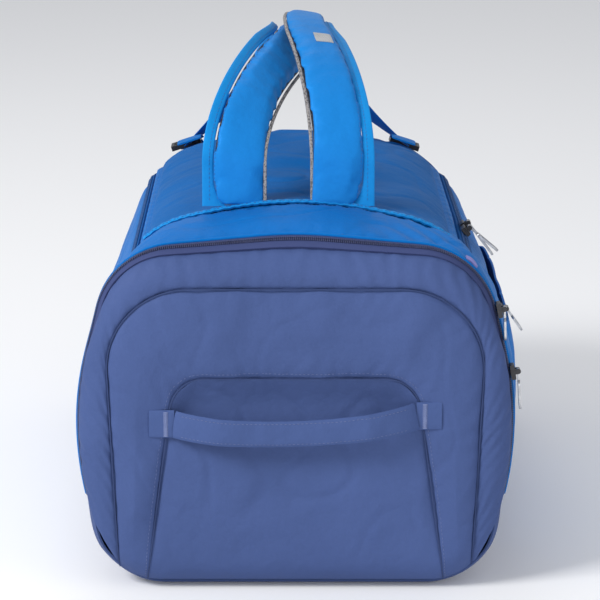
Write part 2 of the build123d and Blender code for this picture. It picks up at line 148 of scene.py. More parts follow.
def outline(y):
    """Columns x, z and outward normal of the bag's section, evenly round from the base's middle."""
    key = round(y, 4)
    if key not in outlines:
        belly, shoulder, shoulder_z, radius, crown = section_at(key)
        right = [foot, (belly, belly_z, 0.300), (shoulder, shoulder_z, radius)]
        corners = right + [(0.0, crown, 0.330)] + [(-x, z, r) for x, z, r in reversed(right)]
        points = [(0.0, 0.0, 0.0, -1.0)]
        for before, corner, after in zip([corners[-1]] + corners, corners, corners[1:] + corners[:1]):
            into = math.atan2(corner[1] - before[1], corner[0] - before[0])
            turn = (math.atan2(after[1] - corner[1], after[0] - corner[0]) - into) % (2 * math.pi)
            reach = corner[2] / math.cos(turn / 2)
            toward = into + turn / 2 + math.pi / 2
            middle = (corner[0] + reach * math.cos(toward), corner[1] + reach * math.sin(toward))
            for step in range(17):
                angle = into - math.pi / 2 + turn * step / 16
                out = (math.cos(angle), math.sin(angle))
                points.append((middle[0] + corner[2] * out[0], middle[1] + corner[2] * out[1], *out))
        points.append(points[0])
        table = np.array(points)
        steps = np.hypot(*np.diff(table[:, :2], axis=0).T)
        along = np.concatenate([[0], np.cumsum(steps)])
        outlines[key] = [np.interp(even, along / along[-1], column) for column in table.T]
    return outlines[key]


def on_bag(y, share, proud=0.0):
    """Point and outward normal of the stuffed bag at y, a share of the way round its section."""
    x, z, out_x, out_z = [float(np.interp(share, even, column)) for column in outline(y)]
    lean = left_slump if x < 0 else right_slump * clamped((y + 0.06) / 0.2)
    settled = clamped((y + 0.283) / 0.07)
    x *= 1 - lean * settled * math.exp(-(((z - slump_z) / slump_reach) ** 2))
    beyond = max(0.0, abs(y) - (half_long - end_round)) / end_round
    level = arc_height(1, beyond)
    drawn = end_round * (1 - level)
    out = Vector((out_x * level, math.copysign(beyond, y), out_z * level)).normalized()
    return Vector((x - out_x * drawn, y, z - out_z * drawn)) + out * proud, out


def share_at_height(y, z):
    """How far round the section its right side reaches height z."""
    return float(np.interp(z, outline(y)[1][:401], even[:401]))


def shaped(name, columns, rows, place, closed=False, relief=None):
    """A flat grid moved to place(across, along), both 0 to 1, then raised along its normals."""
    bpy.ops.object.select_all(action="DESELECT")
    bpy.ops.mesh.primitive_grid_add(x_subdivisions=columns, y_subdivisions=rows, size=1)
    piece = bpy.context.object
    piece.name = name
    spots = [(vertex.co.x + 0.5, vertex.co.y + 0.5) for vertex in piece.data.vertices]
    for vertex, spot in zip(piece.data.vertices, spots):
        vertex.co = place(*spot)
    piece.data.update()
    middle = Vector((0, 0, 0.16))
    if not closed and sum((f.center - middle).dot(f.normal) * f.area for f in piece.data.polygons) < 0:
        piece.data.flip_normals()
        piece.data.update()
    if relief:
        raised = [
            vertex.co + vertex.normal * relief(*spot, vertex.co)
            for vertex, spot in zip(piece.data.vertices, spots)
        ]
        for vertex, point in zip(piece.data.vertices, raised):
            vertex.co = point
    if closed:
        bpy.ops.object.mode_set(mode="EDIT")
        bpy.ops.mesh.select_all(action="SELECT")
        bpy.ops.mesh.remove_doubles(threshold=0.00004)
        bpy.ops.mesh.normals_make_consistent(inside=False)
        bpy.ops.object.mode_set(mode="OBJECT")
    return piece


def thicken(piece, wall):
    """Give a sheet its thickness, inwards from the face that shows."""
    bpy.context.view_layer.objects.active = piece
    bpy.ops.object.mode_set(mode="EDIT")
    bpy.ops.mesh.select_all(action="SELECT")
    bpy.ops.mesh.remove_doubles(threshold=0.00004)
    bpy.ops.object.mode_set(mode="OBJECT")
    cloth_wall = piece.modifiers.new("wall", "SOLIDIFY")
    cloth_wall.thickness = wall
    cloth_wall.offset = -1
    bpy.ops.object.modifier_apply(modifier=cloth_wall.name)


def finished(piece, finish, slot, body, *nodes):
    """Give a piece its finish and its body, and hide the plain solids that it stands for."""
    piece.data.materials.clear()
    piece.data.materials.append(finish.material)
    bpy.ops.object.select_all(action="DESELECT")
    piece.select_set(True)
    bpy.context.view_layer.objects.active = piece
    bpy.ops.object.shade_smooth_by_angle(angle=math.radians(55))
    if body:
        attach(piece, body)
    if nodes:
        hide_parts(*nodes)
    return piece


class Value:
    """A number, colour or vector in a finish, so that shading is written as arithmetic."""

    def __init__(self, finish, socket):
        self.finish = finish
        self.socket = socket

    def maths(self, operation, first, second=0.0):
        return self.finish.node("ShaderNodeMath", {"operation": operation}, {0: first, 1: second})

    def __add__(self, other):
        return self.maths("ADD", self, other)

    def __mul__(self, other):
        return self.maths("MULTIPLY", self, other)

    __radd__ = __add__
    __rmul__ = __mul__

    def sine(self):
        return self.maths("SINE", self)

    def above(self, limit):
        return self.maths("GREATER_THAN", self, limit)


class Finish:
    """A material with its fixed sockets set and its varying ones left to be joined."""

    def __init__(self, name, sockets):
        self.material = bpy.data.materials.new(name)
        self.material.use_nodes = True
        self.tree = self.material.node_tree
        self.shader = self.tree.nodes["Principled BSDF"]
        for socket, number in sockets.items():
            self.shader.inputs[socket].default_value = number
        self.place = self.node("ShaderNodeTexCoord", output="Object")

    def node(self, kind, settings=None, inputs=None, output=0):
        made = self.tree.nodes.new(kind)
        for setting, choice in (settings or {}).items():
            setattr(made, setting, choice)
        for socket, value in (inputs or {}).items():
            if isinstance(value, Value):
                self.tree.links.new(value.socket, made.inputs[socket])
            else:
                made.inputs[socket].default_value = value
        return Value(self, made.outputs[output])

    def mixed(self, low, high, share):
        colours = [(*c, 1) if isinstance(c, tuple) else c for c in (low, high)]
        settings = {"data_type": "RGBA"}
        return self.node("ShaderNodeMix", settings, {0: share, 6: colours[0], 7: colours[1]}, 2)

    def clouds(self, scale, detail=2.0):
        sockets = {"Vector": self.place, "Scale": scale, "Detail": detail}
        return self.node("ShaderNodeTexNoise", None, sockets)

    def joined(self, colour, rough, height, deep):
        bumped = self.node("ShaderNodeBump", None, {"Height": height, "Distance": deep})
        for value, socket in ((colour, "Base Color"), (rough, "Roughness"), (bumped, "Normal")):
            self.tree.links.new(value.socket, self.shader.inputs[socket])
        return self


def woven(name, colour, rough, satin, thread=0.0011, relief=1.0):
    """Coated woven cloth: crossing threads, faint cloudy shade, and small soft creases."""
    tint = tuple(0.35 + 0.65 * c for c in colour)
    sockets = {"Sheen Weight": satin, "Sheen Roughness": 0.35, "Sheen Tint": (*tint, 1)}
    finish = Finish(name, {**sockets, "Specular IOR Level": 0.05, "Metallic": 0.4 * satin})
    axes = [finish.node("ShaderNodeSeparateXYZ", None, {0: finish.place}, n) for n in range(3)]
    waves = [(axis * (2 * math.pi / thread)).sine() for axis in axes]
    weave = waves[0] * waves[1] + waves[1] * waves[2] + waves[2] * waves[0]
    clouds = finish.clouds(9.0)
    creases = finish.clouds(34.0, 3.0)
    grain = finish.clouds(420.0, 1.0)
    dark = tuple(0.80 * c for c in colour)
    light = tuple(min(1.0, 1.16 * c + 0.004) for c in colour)
    shade = finish.mixed(dark, light, clouds * 0.75 + grain * 0.2 + weave * 0.02)
    height = creases * (0.8 * relief) + weave * 0.007 + grain * 0.02
    return finish.joined(shade, clouds * 0.12 + (rough - 0.06), height, 0.0035)


def stuffed(point, edge, along, swell, fold):
    """Height of stuffed cloth: pulled in and puckered at its seam, full and creased beyond."""
    full = 1 - math.exp(-edge / 0.020)
    pinch = math.exp(-edge / 0.0030)
    ripple = math.sin(along / 0.0027 + 5 * noise.noise(point / 0.035))
    pucker = 0.0007 * math.exp(-edge / 0.012) * (1 - pinch) * ripple
    soft = noise.noise(point / 0.085) + 0.45 * noise.noise(point / 0.036)
    crease = max(0.0, 1 - 9 * abs(noise.noise(point / 0.065 + Vector((3.1, 7.7, 1.3)))))
    return swell * full - 0.0022 * pinch + pucker + fold * full * (soft - 0.55 * crease)


base_wide = 0.66
base_near = -0.287
base_rim = seam_z + 0.002


def base_place(across, along):
    """Round the underside from left to right, along the bag and then in over its far end."""
    fan = max(0.0, (along - 0.80) / 0.20)
    if fan:
        rounding = math.radians(90 * min(1.0, fan / 0.45))
        y = half_long - end_round + end_round * math.sin(rounding)
        inward = max(0.0, (fan - 0.45) / 0.55)
    else:
        y = base_near + (half_long - end_round - base_near) * along / 0.80
        inward = 0.0
    side = share_at_height(y, base_rim)
    point, _ = on_bag(y, (side * (2 * across - 1)) % 1.0)
    return point.lerp(Vector((0, half_long, base_rim)), inward)


def base_relief(across, along, point):
    edge = min(across, 1 - across) * base_wide
    resting = clamped((point.z - 0.004) / 0.03)
    return resting * stuffed(point, edge, point.y, 0.0015, 0.0022)


navy = woven("navy_cloth", (0.062, 0.098, 0.245), 0.50, 0.0)
base_tub = shaped("base_tub", 120, 130, base_place, relief=base_relief)
for vertex in base_tub.data.vertices:
    vertex.co.z = max(0.0, vertex.co.z)
thicken(base_tub, shell_wall)
finished(base_tub, navy, "navy_fabric", "bag", "base_panel", "end_base_panel")


# Stiffening board: a loose flat sheet of black polyethylene with rounded corners that lies in
# the bottom. It is die-cut, with a fine moulded grain.
def grained(name, sockets, colours, patches, grain, rough, deep=0.0002):
    """A plain finish of two close shades in soft patches, with a fine grain."""
    finish = Finish(name, sockets)
    speckle = finish.clouds(*grain)
    shade = finish.mixed(*colours, finish.clouds(patches))
    return finish.joined(shade, speckle * rough[0] + rough[1], speckle, deep)


def coated(node, finish):
    """Give a solid that stays as it is its finish."""
    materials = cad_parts[node].data.materials
    materials.clear()
    materials.append(finish.material)


board_shades = ((0.012, 0.012, 0.014), (0.03, 0.03, 0.033))
board_sockets = {"Specular IOR Level": 0.4}
coated(
    "base_board",
    grained("board_grain", board_sockets, board_shades, 30.0, (900.0,), (0.2, 0.45), 0.0004),
)


# Divider: the plain woven sheet between the main and the boot compartments. It is sewn all
# round to the shell just behind the arch seam.
divider_y = -0.1885


def divider_place(across, along):
    point, _ = on_bag(divider_y, across, -0.0035)
    return point.lerp(Vector((0, divider_y, 0.16)), along)


def divider_relief(across, along, point):
    return 0.0015 * noise.noise(point / 0.06) * math.sin(math.pi * along)


lining = woven("lining_cloth", (0.030, 0.036, 0.062), 0.7, 0.05)
divider = shaped("divider", 140, 24, divider_place, relief=divider_relief)
thicken(divider, 0.0012)
finished(divider, lining, "lining_fabric", "bag", "divider_panel")


# Flanks: the blue side panels between the base and the main zip. Satin coated polyester with
# long soft folds from the load; the zip tape is sewn along their upper edge.
band_half = 0.138
band_far = 0.253
band_corner = 0.045
band_width = 0.009
zip_middle = 0.0135
tape_outer = 0.018
zip_gap = 0.00025
flank_far = band_far + tape_outer


def share_over(y, x):
    """How far round the section the top of the bag lies over a plan distance x."""
    columns = outline(y)
    widest = int(np.argmax(columns[0]))
    return float(np.interp(-x, -columns[0][widest:401], even[widest:401]))


def over(x, y, proud=0.0):
    """Point and outward normal on top of the bag at a place in plan."""
    share = share_over(y, abs(x))
    return on_bag(y, share if x >= 0 else 1 - share, proud)


def rim_half(y, past):
    """Half width at y of the U-shaped plan a distance past the seam of the lid's band."""
    half = band_half + past
    into = max(0.0, y - (band_far + past - band_corner))
    return half - band_corner + arc_height(band_corner, into)


def rim(share, past):
    """Plan point of that U, from its near left end round to its near right end."""
    half, far = band_half + past, band_far + past
    straight = far - band_corner - hinge_y
    arc = band_corner * math.pi / 2
    across = 2 * (half - band_corner)
    reach = share * (2 * straight + 2 * arc + across)
    mirrored = reach > straight + arc + across / 2
    if mirrored:
        reach = 2 * straight + 2 * arc + across - reach
    if reach < straight:
        x, y = half, hinge_y + reach
    elif reach < straight + arc:
        turn = (reach - straight) / band_corner
        x = half - band_corner + band_corner * math.cos(turn)
        y = far - band_corner + band_corner * math.sin(turn)
    else:
        x, y = half - band_corner - (reach - straight - arc), far
    return (x if mirrored else -x), y


blue = woven("blue_cloth", (0.001, 0.150, 0.500), 0.46, 0.10)
flank_high = 0.24
for name, side in (("left", -1), ("right", 1)):

    def flank_place(across, along):
        y = hinge_y + (flank_far - hinge_y) * along
        low = share_at_height(y, seam_z)
        high = share_over(y, rim_half(min(y, flank_far - 0.0005), tape_outer))
        share = low + (high - low) * across
        return on_bag(y, share if side > 0 else 1 - share)[0]

    def flank_relief(across, along, point):
        edge = min(across * flank_high, (1 - across) * flank_high, along * 0.46)
        sag = noise.noise(Vector((point.x, point.y * 3, point.z * 14)) / 0.35)
        return stuffed(point, edge, point.y, 0.0015, 0.0024) + 0.0018 * sag

    flank = shaped(f"flank_{name}", 60, 110, flank_place, relief=flank_relief)
    thicken(flank, shell_wall)
    finished(flank, blue, "blue_fabric", "bag", f"side_panel_{name}")


# Far end: the blue panel over the rounded far end, from the main zip down to the base seam.
# It is gathered a little where it turns the corner, and its edge laps under the flanks.
far_lap = 0.002


def far_place(across, along):
    if along < 0.5:
        rounding = math.radians(90 * along / 0.5)
        near_edge = flank_far - far_lap
        y = near_edge + (half_long - near_edge) * math.sin(rounding)
        inward = 0.0
    else:
        y, inward = half_long, (along - 0.5) / 0.5
    side = share_at_height(y, seam_z)
    point, _ = on_bag(y, side + (1 - 2 * side) * across)
    return point.lerp(Vector((0, half_long, seam_z)), inward)


def far_relief(across, along, point):
    edge = min(min(across, 1 - across) * 0.7 + 0.004, along * 0.1, point.z - seam_z + 0.001)
    return stuffed(point, max(0.0, edge), point.x, 0.004 * min(1, 2 - 2 * along), 0.002)


far_end = shaped("far_end", 120, 50, far_place, relief=far_relief)
thicken(far_end, shell_wall)
finished(far_end, blue, "blue_fabric", "bag", "far_end_panel")


# Saddle: the blue panel over the boot compartment, between the arch seam and the end zip.
# Its near edge is turned over in a light-catching roll, and it creases at its right corner.
saddle_near = -0.272
saddle_far = -0.1905


def saddle_place(across, along):
    y = saddle_near + (saddle_far - saddle_near) * along
    side = share_at_height(y, seam_z)
    return on_bag(y, side + (1 - 2 * side) * (1 - across))[0]


def saddle_relief(across, along, point):
    edge = min(across * 0.8, (1 - across) * 0.8, along * 0.082, (1 - along) * 0.082)
    corner = math.exp(-((point.x - 0.125) ** 2 + (point.z - 0.285) ** 2) / 0.0016)
    tuck = math.sin((point.x + 0.6 * point.y) / 0.0038)
    drape = 0.0012 * math.sin(point.x / 0.021 + 2.5 * noise.noise(point / 0.08))
    return stuffed(point, edge, point.x, 0.004, 0.0026) + corner * 0.0016 * tuck + drape


saddle = shaped("saddle", 220, 36, saddle_place, relief=saddle_relief)
thicken(saddle, shell_wall)
finished(saddle, blue, "blue_fabric", "bag", "saddle_panel")


def swept(name, path, profile, columns, rows, ease=True):
    """A closed bar along path(share); profile(turn, share) gives its side and outward offsets."""

    def place(across, along):
        share = 0.5 - 0.5 * math.cos(math.pi * along) if ease else along
        point, out = path(share)
        ahead = path(min(1.0, share + 0.002))[0] - path(max(0.0, share - 0.002))[0]
        side = ahead.cross(out).normalized()
        up = side.cross(ahead).normalized()
        sideways, outward = profile(2 * math.pi * across, share)
        if along < 0.0001 or along > 0.9999:
            turn = profile(2 * math.pi * across + math.pi, share)
            sideways, outward = (sideways + turn[0]) / 2, (outward + turn[1]) / 2
        return point + side * sideways + up * outward

    return shaped(name, columns, rows, place, closed=True)


def squared(wave, power):
    """A sine or cosine made fuller, so that a round section becomes a square one."""
    return math.copysign(abs(wave) ** power, wave)


def flat_bar(wide, thick, aside=0.0, lift=0.0, square=0.45):
    """Profile of a flat bar with rolled edges, standing aside and lifted off its path."""

    def profile(turn, share):
        sideways = aside + wide / 2 * squared(math.cos(turn), square)
        return sideways, lift + thick / 2 * squared(math.sin(turn), 0.7)

    return profile


def round_bar(radius):
    """Profile of a round cord."""
    return flat_bar(2 * radius, 2 * radius, square=0.7)


def ring_path(y, low=seam_z, proud=0.0):
    """Path over the bag at one y, from the left base seam to the right one."""
    side = share_at_height(y, low)
    return lambda share: on_bag(y, 1 - side - (1 - 2 * side) * share, proud)


saddle_roll = swept("saddle_roll", ring_path(-0.2725, proud=0.0004), round_bar(0.0016), 10, 220)
finished(saddle_roll, blue, "blue_fabric", "bag")


# End flap: three navy panels that close the boot compartment, an outer ring, a middle panel and
# a hollow behind the grab handle, joined by two arched seams. They fold down at their foot.
arch_half = 0.163
arch_top = 0.268
arch_radius = 0.070
hollow_foot = 0.128
hollow_head = 0.103
hollow_top = 0.190
hollow_radius = 0.030
hollow_low = 0.008
near_outline = outline(-half_long)


def on_end(x, z, proud=0.0):
    """Point on the rounded near end at a place seen from the front."""
    inside = float(np.min(np.hypot(near_outline[0] - x, near_outline[1] - z)))
    reach = arc_height(end_round, max(0.0, end_round - inside))
    return Vector((x, -(half_long - end_round) - reach - proud, z))


def arch(share, foot_half, head_half, top, radius, low):
    """Point of an arch from its left foot to its right foot."""
    lean = math.atan2(foot_half - head_half, top - low)
    reach = math.tan((math.pi / 2 - lean) / 2) * radius
    leg = math.hypot(foot_half - head_half, top - low) - reach
    bend = (math.pi / 2 - lean) * radius
    across = head_half - reach
    total = 2 * (leg + bend + across)
    run = share * total
    left = run <= total / 2
    run = run if left else total - run
    if run < leg:
        x = foot_half - (foot_half - head_half) * run / (leg + reach)
        z = low + (top - low) * run / (leg + reach)
    elif run < leg + bend:
        turn = lean + (run - leg) / radius
        x = across + radius * math.cos(turn)
        z = top - radius + radius * math.sin(turn)
    else:
        x, z = across - (run - leg - bend), top
    return (-x if left else x), z


def seam_one(share):
    return arch(share, 0.152, arch_half, arch_top, arch_radius, 0.016)


def seam_two(share):
    return arch(share, hollow_foot, hollow_head, hollow_top, hollow_radius, hollow_low)


def edge_path(share):
    """The flap's outer edge beside the zip, from the left of the base round to its right."""
    start = 0.185
    point, _ = on_bag(-0.2875, 1 - start - (1 - 2 * start) * share)
    return point.x, point.z


def handle_pull(point):
    """How strongly the grab handle's two ends hold the cloth down."""
    return sum(
        math.exp(-((point.x - x) ** 2 + (point.z - z) ** 2) / 0.0006)
        for x, z in ((-0.114, 0.150), (0.114, 0.157))
    )


def between(inner_seam, outer_seam):
    """Grid placing of an end flap panel from one of its seams out to the next."""

    def place(across, along):
        pairs = zip(inner_seam(across), outer_seam(across))
        return on_end(*(a + (b - a) * along for a, b in pairs))

    return place


def ring_relief(across, along, point):
    edge = min(along, 1 - along) * 0.034
    tuck = math.sin(across * 260 + 5 * noise.noise(point / 0.03)) * noise.noise(point / 0.05)
    below_shoulder = clamped((0.262 - point.z) / 0.05)
    above_base = clamped((point.z - 0.02) / 0.04)
    overhang = 0.0062 * below_shoulder * above_base * along**1.5
    return stuffed(point, edge, across * 0.75, 0.0022, 0.0016) + 0.0009 * tuck + overhang


def middle_relief(across, along, point):
    edge = min(along, 1 - along) * 0.065
    full = stuffed(point, edge, across * 0.6, 0.0075, 0.0024)
    drape = 0.0010 * math.sin(point.x / 0.012 + 3 * noise.noise(point / 0.06))
    rising = clamped((point.z - 0.02) / 0.05)
    return rising * (full + drape) * (1 - 0.8 * min(1.0, handle_pull(point)))


def hollow_place(across, along):
    half = 2 * across - 1
    height = 1 - (1 - along) ** 1.6
    z = hollow_low + (hollow_top - hollow_low) * height
    leg = hollow_foot - (hollow_foot - hollow_head) * height
    into = max(0.0, z - (hollow_top - hollow_radius))
    leg -= hollow_radius - arc_height(hollow_radius, into)
    return on_end(half * leg, z)


def hollow_relief(across, along, point):
    edge = min(min(across, 1 - across) * 0.22, (hollow_top - point.z) * 1.2)
    scoop = math.exp(-(((point.z - 0.168) / 0.030) ** 2)) * (1 - math.exp(-edge / 0.012))
    full = stuffed(point, edge, point.x, 0.003, 0.0026)
    rising = clamped((point.z - 0.02) / 0.05)
    return rising * (full - 0.013 * scoop)


def folds_at_foot(piece):
    """Bake a piece's placing into its mesh."""
    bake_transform(piece)


flap_panels = {}
for name, size, place, relief in (
    ("ring", (260, 16), between(seam_one, edge_path), ring_relief),
    ("middle", (220, 30), between(seam_two, seam_one), middle_relief),
    ("hollow", (90, 80), hollow_place, hollow_relief),
):
    flap_panels[name] = shaped(f"flap_{name}", *size, place, relief=relief)
    thicken(flap_panels[name], shell_wall)
    finished(flap_panels[name], navy, "navy_fabric", None, f"end_flap_{name}")
    folds_at_foot(flap_panels[name])


# Seam cords: narrow piping let into the two arched seams of the end flap and the base seam.
# Navy binding round a thin cord, sewn in with the panels; its darker navy is painted seam shade.
piping_radius = 0.0007
# Darker than the panels' navy: painted shade of the seam lines.
seam_shade_navy = woven("seam_shade_cloth", (0.040, 0.062, 0.155), 0.55, 0.0)


def seam_path(seam):
    """Path along one of the end flap's seams."""

    def path(share):
        return on_end(*seam(share)), Vector((0, -1, 0))

    return path


for name, seam in (("ring_seam_shade_piping", seam_one), ("hollow_seam_shade_piping", seam_two)):
    cord = swept(name, seam_path(seam), round_bar(piping_radius), 8, 200)
    finished(cord, seam_shade_navy, "navy_fabric", None)
    folds_at_foot(cord)

for name, side in (("left", 0), ("right", 1)):

    def base_seam_path(share):
        y = -0.280 + 0.560 * share
        low = share_at_height(y, seam_z)
        return on_bag(y, low if side else 1 - low, 0.0002)

    cord = swept(f"base_seam_shade_piping_{name}", base_seam_path, round_bar(piping_radius), 8, 120)
    finished(cord, seam_shade_navy, "navy_fabric", "bag")


# End zip: tapes and nylon coil that part the flap from the saddle. Each half is a woven tape
# with its row of teeth along the middle line.
def strip_over(y_low, y_high, low):
    """Grid placing of a strip round the bag between two places along it."""

    def place(across, along):
        y = y_low + (y_high - y_low) * along
        side = share_at_height(y, low)
        return on_bag(y, side + (1 - 2 * side) * across)[0]

    return place


def stations(path, pitch):
    """Points, directions and outward normals at an even pitch along a path."""
    points = [path(step / 600) for step in range(601)]
    runs = [(b[0] - a[0]).length for a, b in zip(points, points[1:])]
    reach = np.concatenate([[0], np.cumsum(runs)])
    for step in range(int(reach[-1] / pitch)):
        share = float(np.interp((step + 0.5) * pitch, reach, range(601)))
        low = min(int(share), 599)
        (start, out), (finish, _) = points[low], points[low + 1]
        yield start.lerp(finish, share - low), (finish - start).normalized(), out


def laid(name, shape, places):
    """One small shape repeated at every station, as a single piece."""
    corners = np.array([vertex.co for vertex in shape.data.vertices])
    faces = [tuple(face.vertices) for face in shape.data.polygons]
    points, polygons = [], []
    for point, ahead, out in places:
        side = out.cross(ahead).normalized()
        up = ahead.cross(side).normalized()
        start = len(points)
        points.extend(map(tuple, corners @ np.array([ahead, side, up]) + np.array(point)))
        polygons.extend(tuple(start + corner for corner in face) for face in faces)
    mesh = bpy.data.meshes.new(name)
    mesh.from_pydata(points, [], polygons)
    piece = bpy.data.objects.new(name, mesh)
    bpy.context.collection.objects.link(piece)
    return piece


bpy.ops.object.select_all(action="DESELECT")
bpy.ops.mesh.primitive_cube_add(size=1, scale=(0.0009, 0.0026, 0.0013))
tooth = bpy.context.object
bpy.ops.object.transform_apply(location=False, rotation=False, scale=True)
bpy.ops.object.mode_set(mode="EDIT")
bpy.ops.mesh.select_all(action="SELECT")
bpy.ops.mesh.bevel(offset=0.0003, segments=1, affect="EDGES")
bpy.ops.object.mode_set(mode="OBJECT")

tape_wall = 0.0028
tooth_pitch = 0.0017
tooth_proud = 0.0007
tape = woven("zip_tape_cloth", (0.050, 0.068, 0.175), 0.62, 0.0, thread=0.0008, relief=0.1)
nylon = {}
for name, dark, light in (
    ("navy_coil", (0.028, 0.034, 0.090), (0.070, 0.080, 0.170)),
    ("blue_coil", (0.002, 0.045, 0.170), (0.004, 0.075, 0.250)),
):
    coil = Finish(name, {"Specular IOR Level": 0.4})
    shade = coil.mixed(dark, light, coil.clouds(60.0))
    nylon[name] = coil.joined(shade, coil.clouds(300.0) * 0.2 + 0.3, coil.clouds(900.0), 0.0002)
for name, y_low, y_high, teeth_y, body, foot_z in (
    ("body", -0.27975, -0.2705, -0.2787, "bag", 0.080),
    ("flap", -0.288, -0.28025, -0.2813, "end_flap", 0.0805),
):
    end_tape = shaped(f"end_zip_tape_{name}", 200, 6, strip_over(y_low, y_high, foot_z))
    thicken(end_tape, tape_wall)
    finished(end_tape, tape, "zip_tape", body, f"end_zip_{name}_tape")
    coil_path = ring_path(teeth_y, foot_z, tooth_proud)
    teeth = laid(f"end_zip_teeth_{name}", tooth, stations(coil_path, tooth_pitch))
    finished(teeth, nylon["navy_coil"], "zip_coil", body, f"end_zip_{name}_coil")


# Main zip: the long U-shaped zip round the lid, built the same way. Its outer tape is sewn to
# the flanks and the far end, its inner one to the lid's band.
def rim_strip(inner, outer):
    """Grid placing of a strip between two distances past the band's seam."""

    def place(across, along):
        return over(*rim(across, inner + (outer - inner) * along))[0]

    return place


def rim_path(past, proud):
    def path(share):
        x, y = rim(share, past)
        return over(x, y, proud)

    return path


blue_tape = woven("blue_tape_cloth", (0.003, 0.085, 0.300), 0.6, 0.0, thread=0.0008, relief=0.1)
for name, inner, outer, teeth_past, body in (
    ("lid", band_width, zip_middle - zip_gap, zip_middle - 0.0013, "lid"),
    ("body", zip_middle + zip_gap, tape_outer + 0.0015, zip_middle + 0.0013, "bag"),
):
    main_tape = shaped(f"main_zip_tape_{name}", 260, 4, rim_strip(inner, outer))
    thicken(main_tape, tape_wall)
    finished(main_tape, blue_tape, "zip_tape", body, f"main_zip_{name}_tape")
    coil_path = rim_path(teeth_past, tooth_proud)
    teeth = laid(f"main_zip_teeth_{name}", tooth, stations(coil_path, tooth_pitch))
    finished(teeth, nylon["blue_coil"], "zip_coil", body, f"main_zip_{name}_coil")


# Lid: the blue top panel with a narrow lighter band round it, soft across its width where the
# load sags. Its near edge is a folded lighter strip, stitched twice along the arch seam.
lid_blue = woven("lid_cloth", (0.001, 0.120, 0.400), 0.50, 0.02)


def lid_place(across, along):
    y = hinge_y + (band_far - hinge_y) * (1 - (1 - along) ** 1.25)
    return over((2 * across - 1) * rim_half(y, 0.0), y)[0]


def lid_relief(across, along, point):
    edge = min(across, 1 - across) * 0.27
    edge = min(edge, abs(point.y - hinge_y), abs(band_far - point.y))
    sag = math.sin(point.y / 0.017 + 3.2 * noise.noise(point / 0.11))
    dip = math.exp(-((point.x / 0.11) ** 2)) * math.exp(-(((point.y + 0.02) / 0.10) ** 2))
    calm = 1 - math.exp(-edge / 0.03)
    return stuffed(point, edge, point.x + point.y, 0.002, 0.0028) + calm * (0.0016 * sag - 0.004 * dip)


lid_top = shaped("lid_top", 120, 150, lid_place, relief=lid_relief)
thicken(lid_top, shell_wall)
finished(lid_top, lid_blue, "lid_fabric", "lid", "lid_panel")


def band_relief(across, along, point):
    return stuffed(point, min(along, 1 - along) * band_width, across, 0.0024, 0.0006)


band = shaped("lid_band", 280, 8, rim_strip(0.0, band_width), relief=band_relief)
thicken(band, shell_wall)
finished(band, blue, "blue_fabric", "lid", "lid_band")


flange_cloth = woven("flange_cloth", (0.010, 0.260, 0.660), 0.46, 0.16)


def arch_strip_place(across, along):
    return over((2 * across - 1) * 0.1375, hinge_y - 0.0004 + 0.0078 * along)[0]


def arch_strip_relief(across, along, point):
    pucker = math.sin(across * 210 + 4 * noise.noise(point / 0.03))
    return 0.0016 + 0.0014 * math.sin(math.pi * along) + 0.0003 * pucker


arch_strip = shaped("arch_strip", 200, 8, arch_strip_place, relief=arch_strip_relief)
thicken(arch_strip, 0.0018)
finished(arch_strip, flange_cloth, "strap_fabric", "lid")


def thread_bead(long, wide, high):
    """One visible length of thread between two needle holes."""
    bpy.ops.object.select_all(action="DESELECT")
    bpy.ops.mesh.primitive_uv_sphere_add(segments=6, ring_count=4, radius=0.5)
    bpy.ops.object.mode_set(mode="EDIT")
    bpy.ops.mesh.select_all(action="SELECT")
    bpy.ops.transform.resize(value=(long, wide, high))
    bpy.ops.object.mode_set(mode="OBJECT")
    return bpy.context.object


stitch = thread_bead(0.0024, 0.00062, 0.00050)


def thread(name, sheen, dark, light):
    """Finish of a twisted sewing thread."""
    return grained(name, {"Sheen Weight": sheen}, (dark, light), 80.0, (1500.0,), (0.2, 0.5))


blue_thread = thread("thread", 0.2, (0.004, 0.080, 0.300), (0.010, 0.140, 0.440))


def sewn(name, panel, path, body, finish=blue_thread, pitch=0.0036):
    """A row of stitches lying on a panel's surface."""
    places = []
    for point, ahead, _ in stations(path, pitch):
        _, spot, out, _ = panel.closest_point_on_mesh(point)
        places.append((spot + out * 0.0001, ahead, out))
    return finished(laid(name, stitch, places), finish, "stitch_thread", body)


for row, near in enumerate((0.0017, 0.0048)):

    def arch_row(share):
        return over((2 * share - 1) * 0.136, hinge_y + near, 0.002)

    sewn(f"arch_stitches_{row}", arch_strip, arch_row, "lid")
sewn("band_stitches", band, rim_path(0.0022, 0.002), "lid")
for row, y in enumerate((-0.2700, -0.1945)):
    sewn(f"saddle_stitches_{row}", saddle, ring_path(y, proud=0.003), "bag")


def beside_seam_two(share):
    x, z = seam_two(share)
    out = Vector((x, 0, z - 0.09)).normalized() * 0.0032
    return on_end(x + out.x, z + out.z, 0.004), Vector((0, -1, 0))


navy_thread = thread("navy_thread", 0.1, (0.075, 0.105, 0.240), (0.110, 0.150, 0.320))
hollow_stitches = sewn("hollow_stitches", flap_panels["middle"], beside_seam_two, None, navy_thread)
folds_at_foot(hollow_stitches)


# Grab handles: one on the end flap, one on the far end. Each is a flat folded band of the same
# cloth, stitched along both edges, with its ends sewn down under dense bartacks.
grip_half = 0.102
tab_long = 0.022
handle_blue = woven("handle_cloth", (0.062, 0.100, 0.250), 0.5, 0.0)
tack = thread_bead(0.0046, 0.0009, 0.0009)
tack_thread = thread("tack_thread", 0.1, (0.13, 0.17, 0.36), (0.24, 0.29, 0.50))

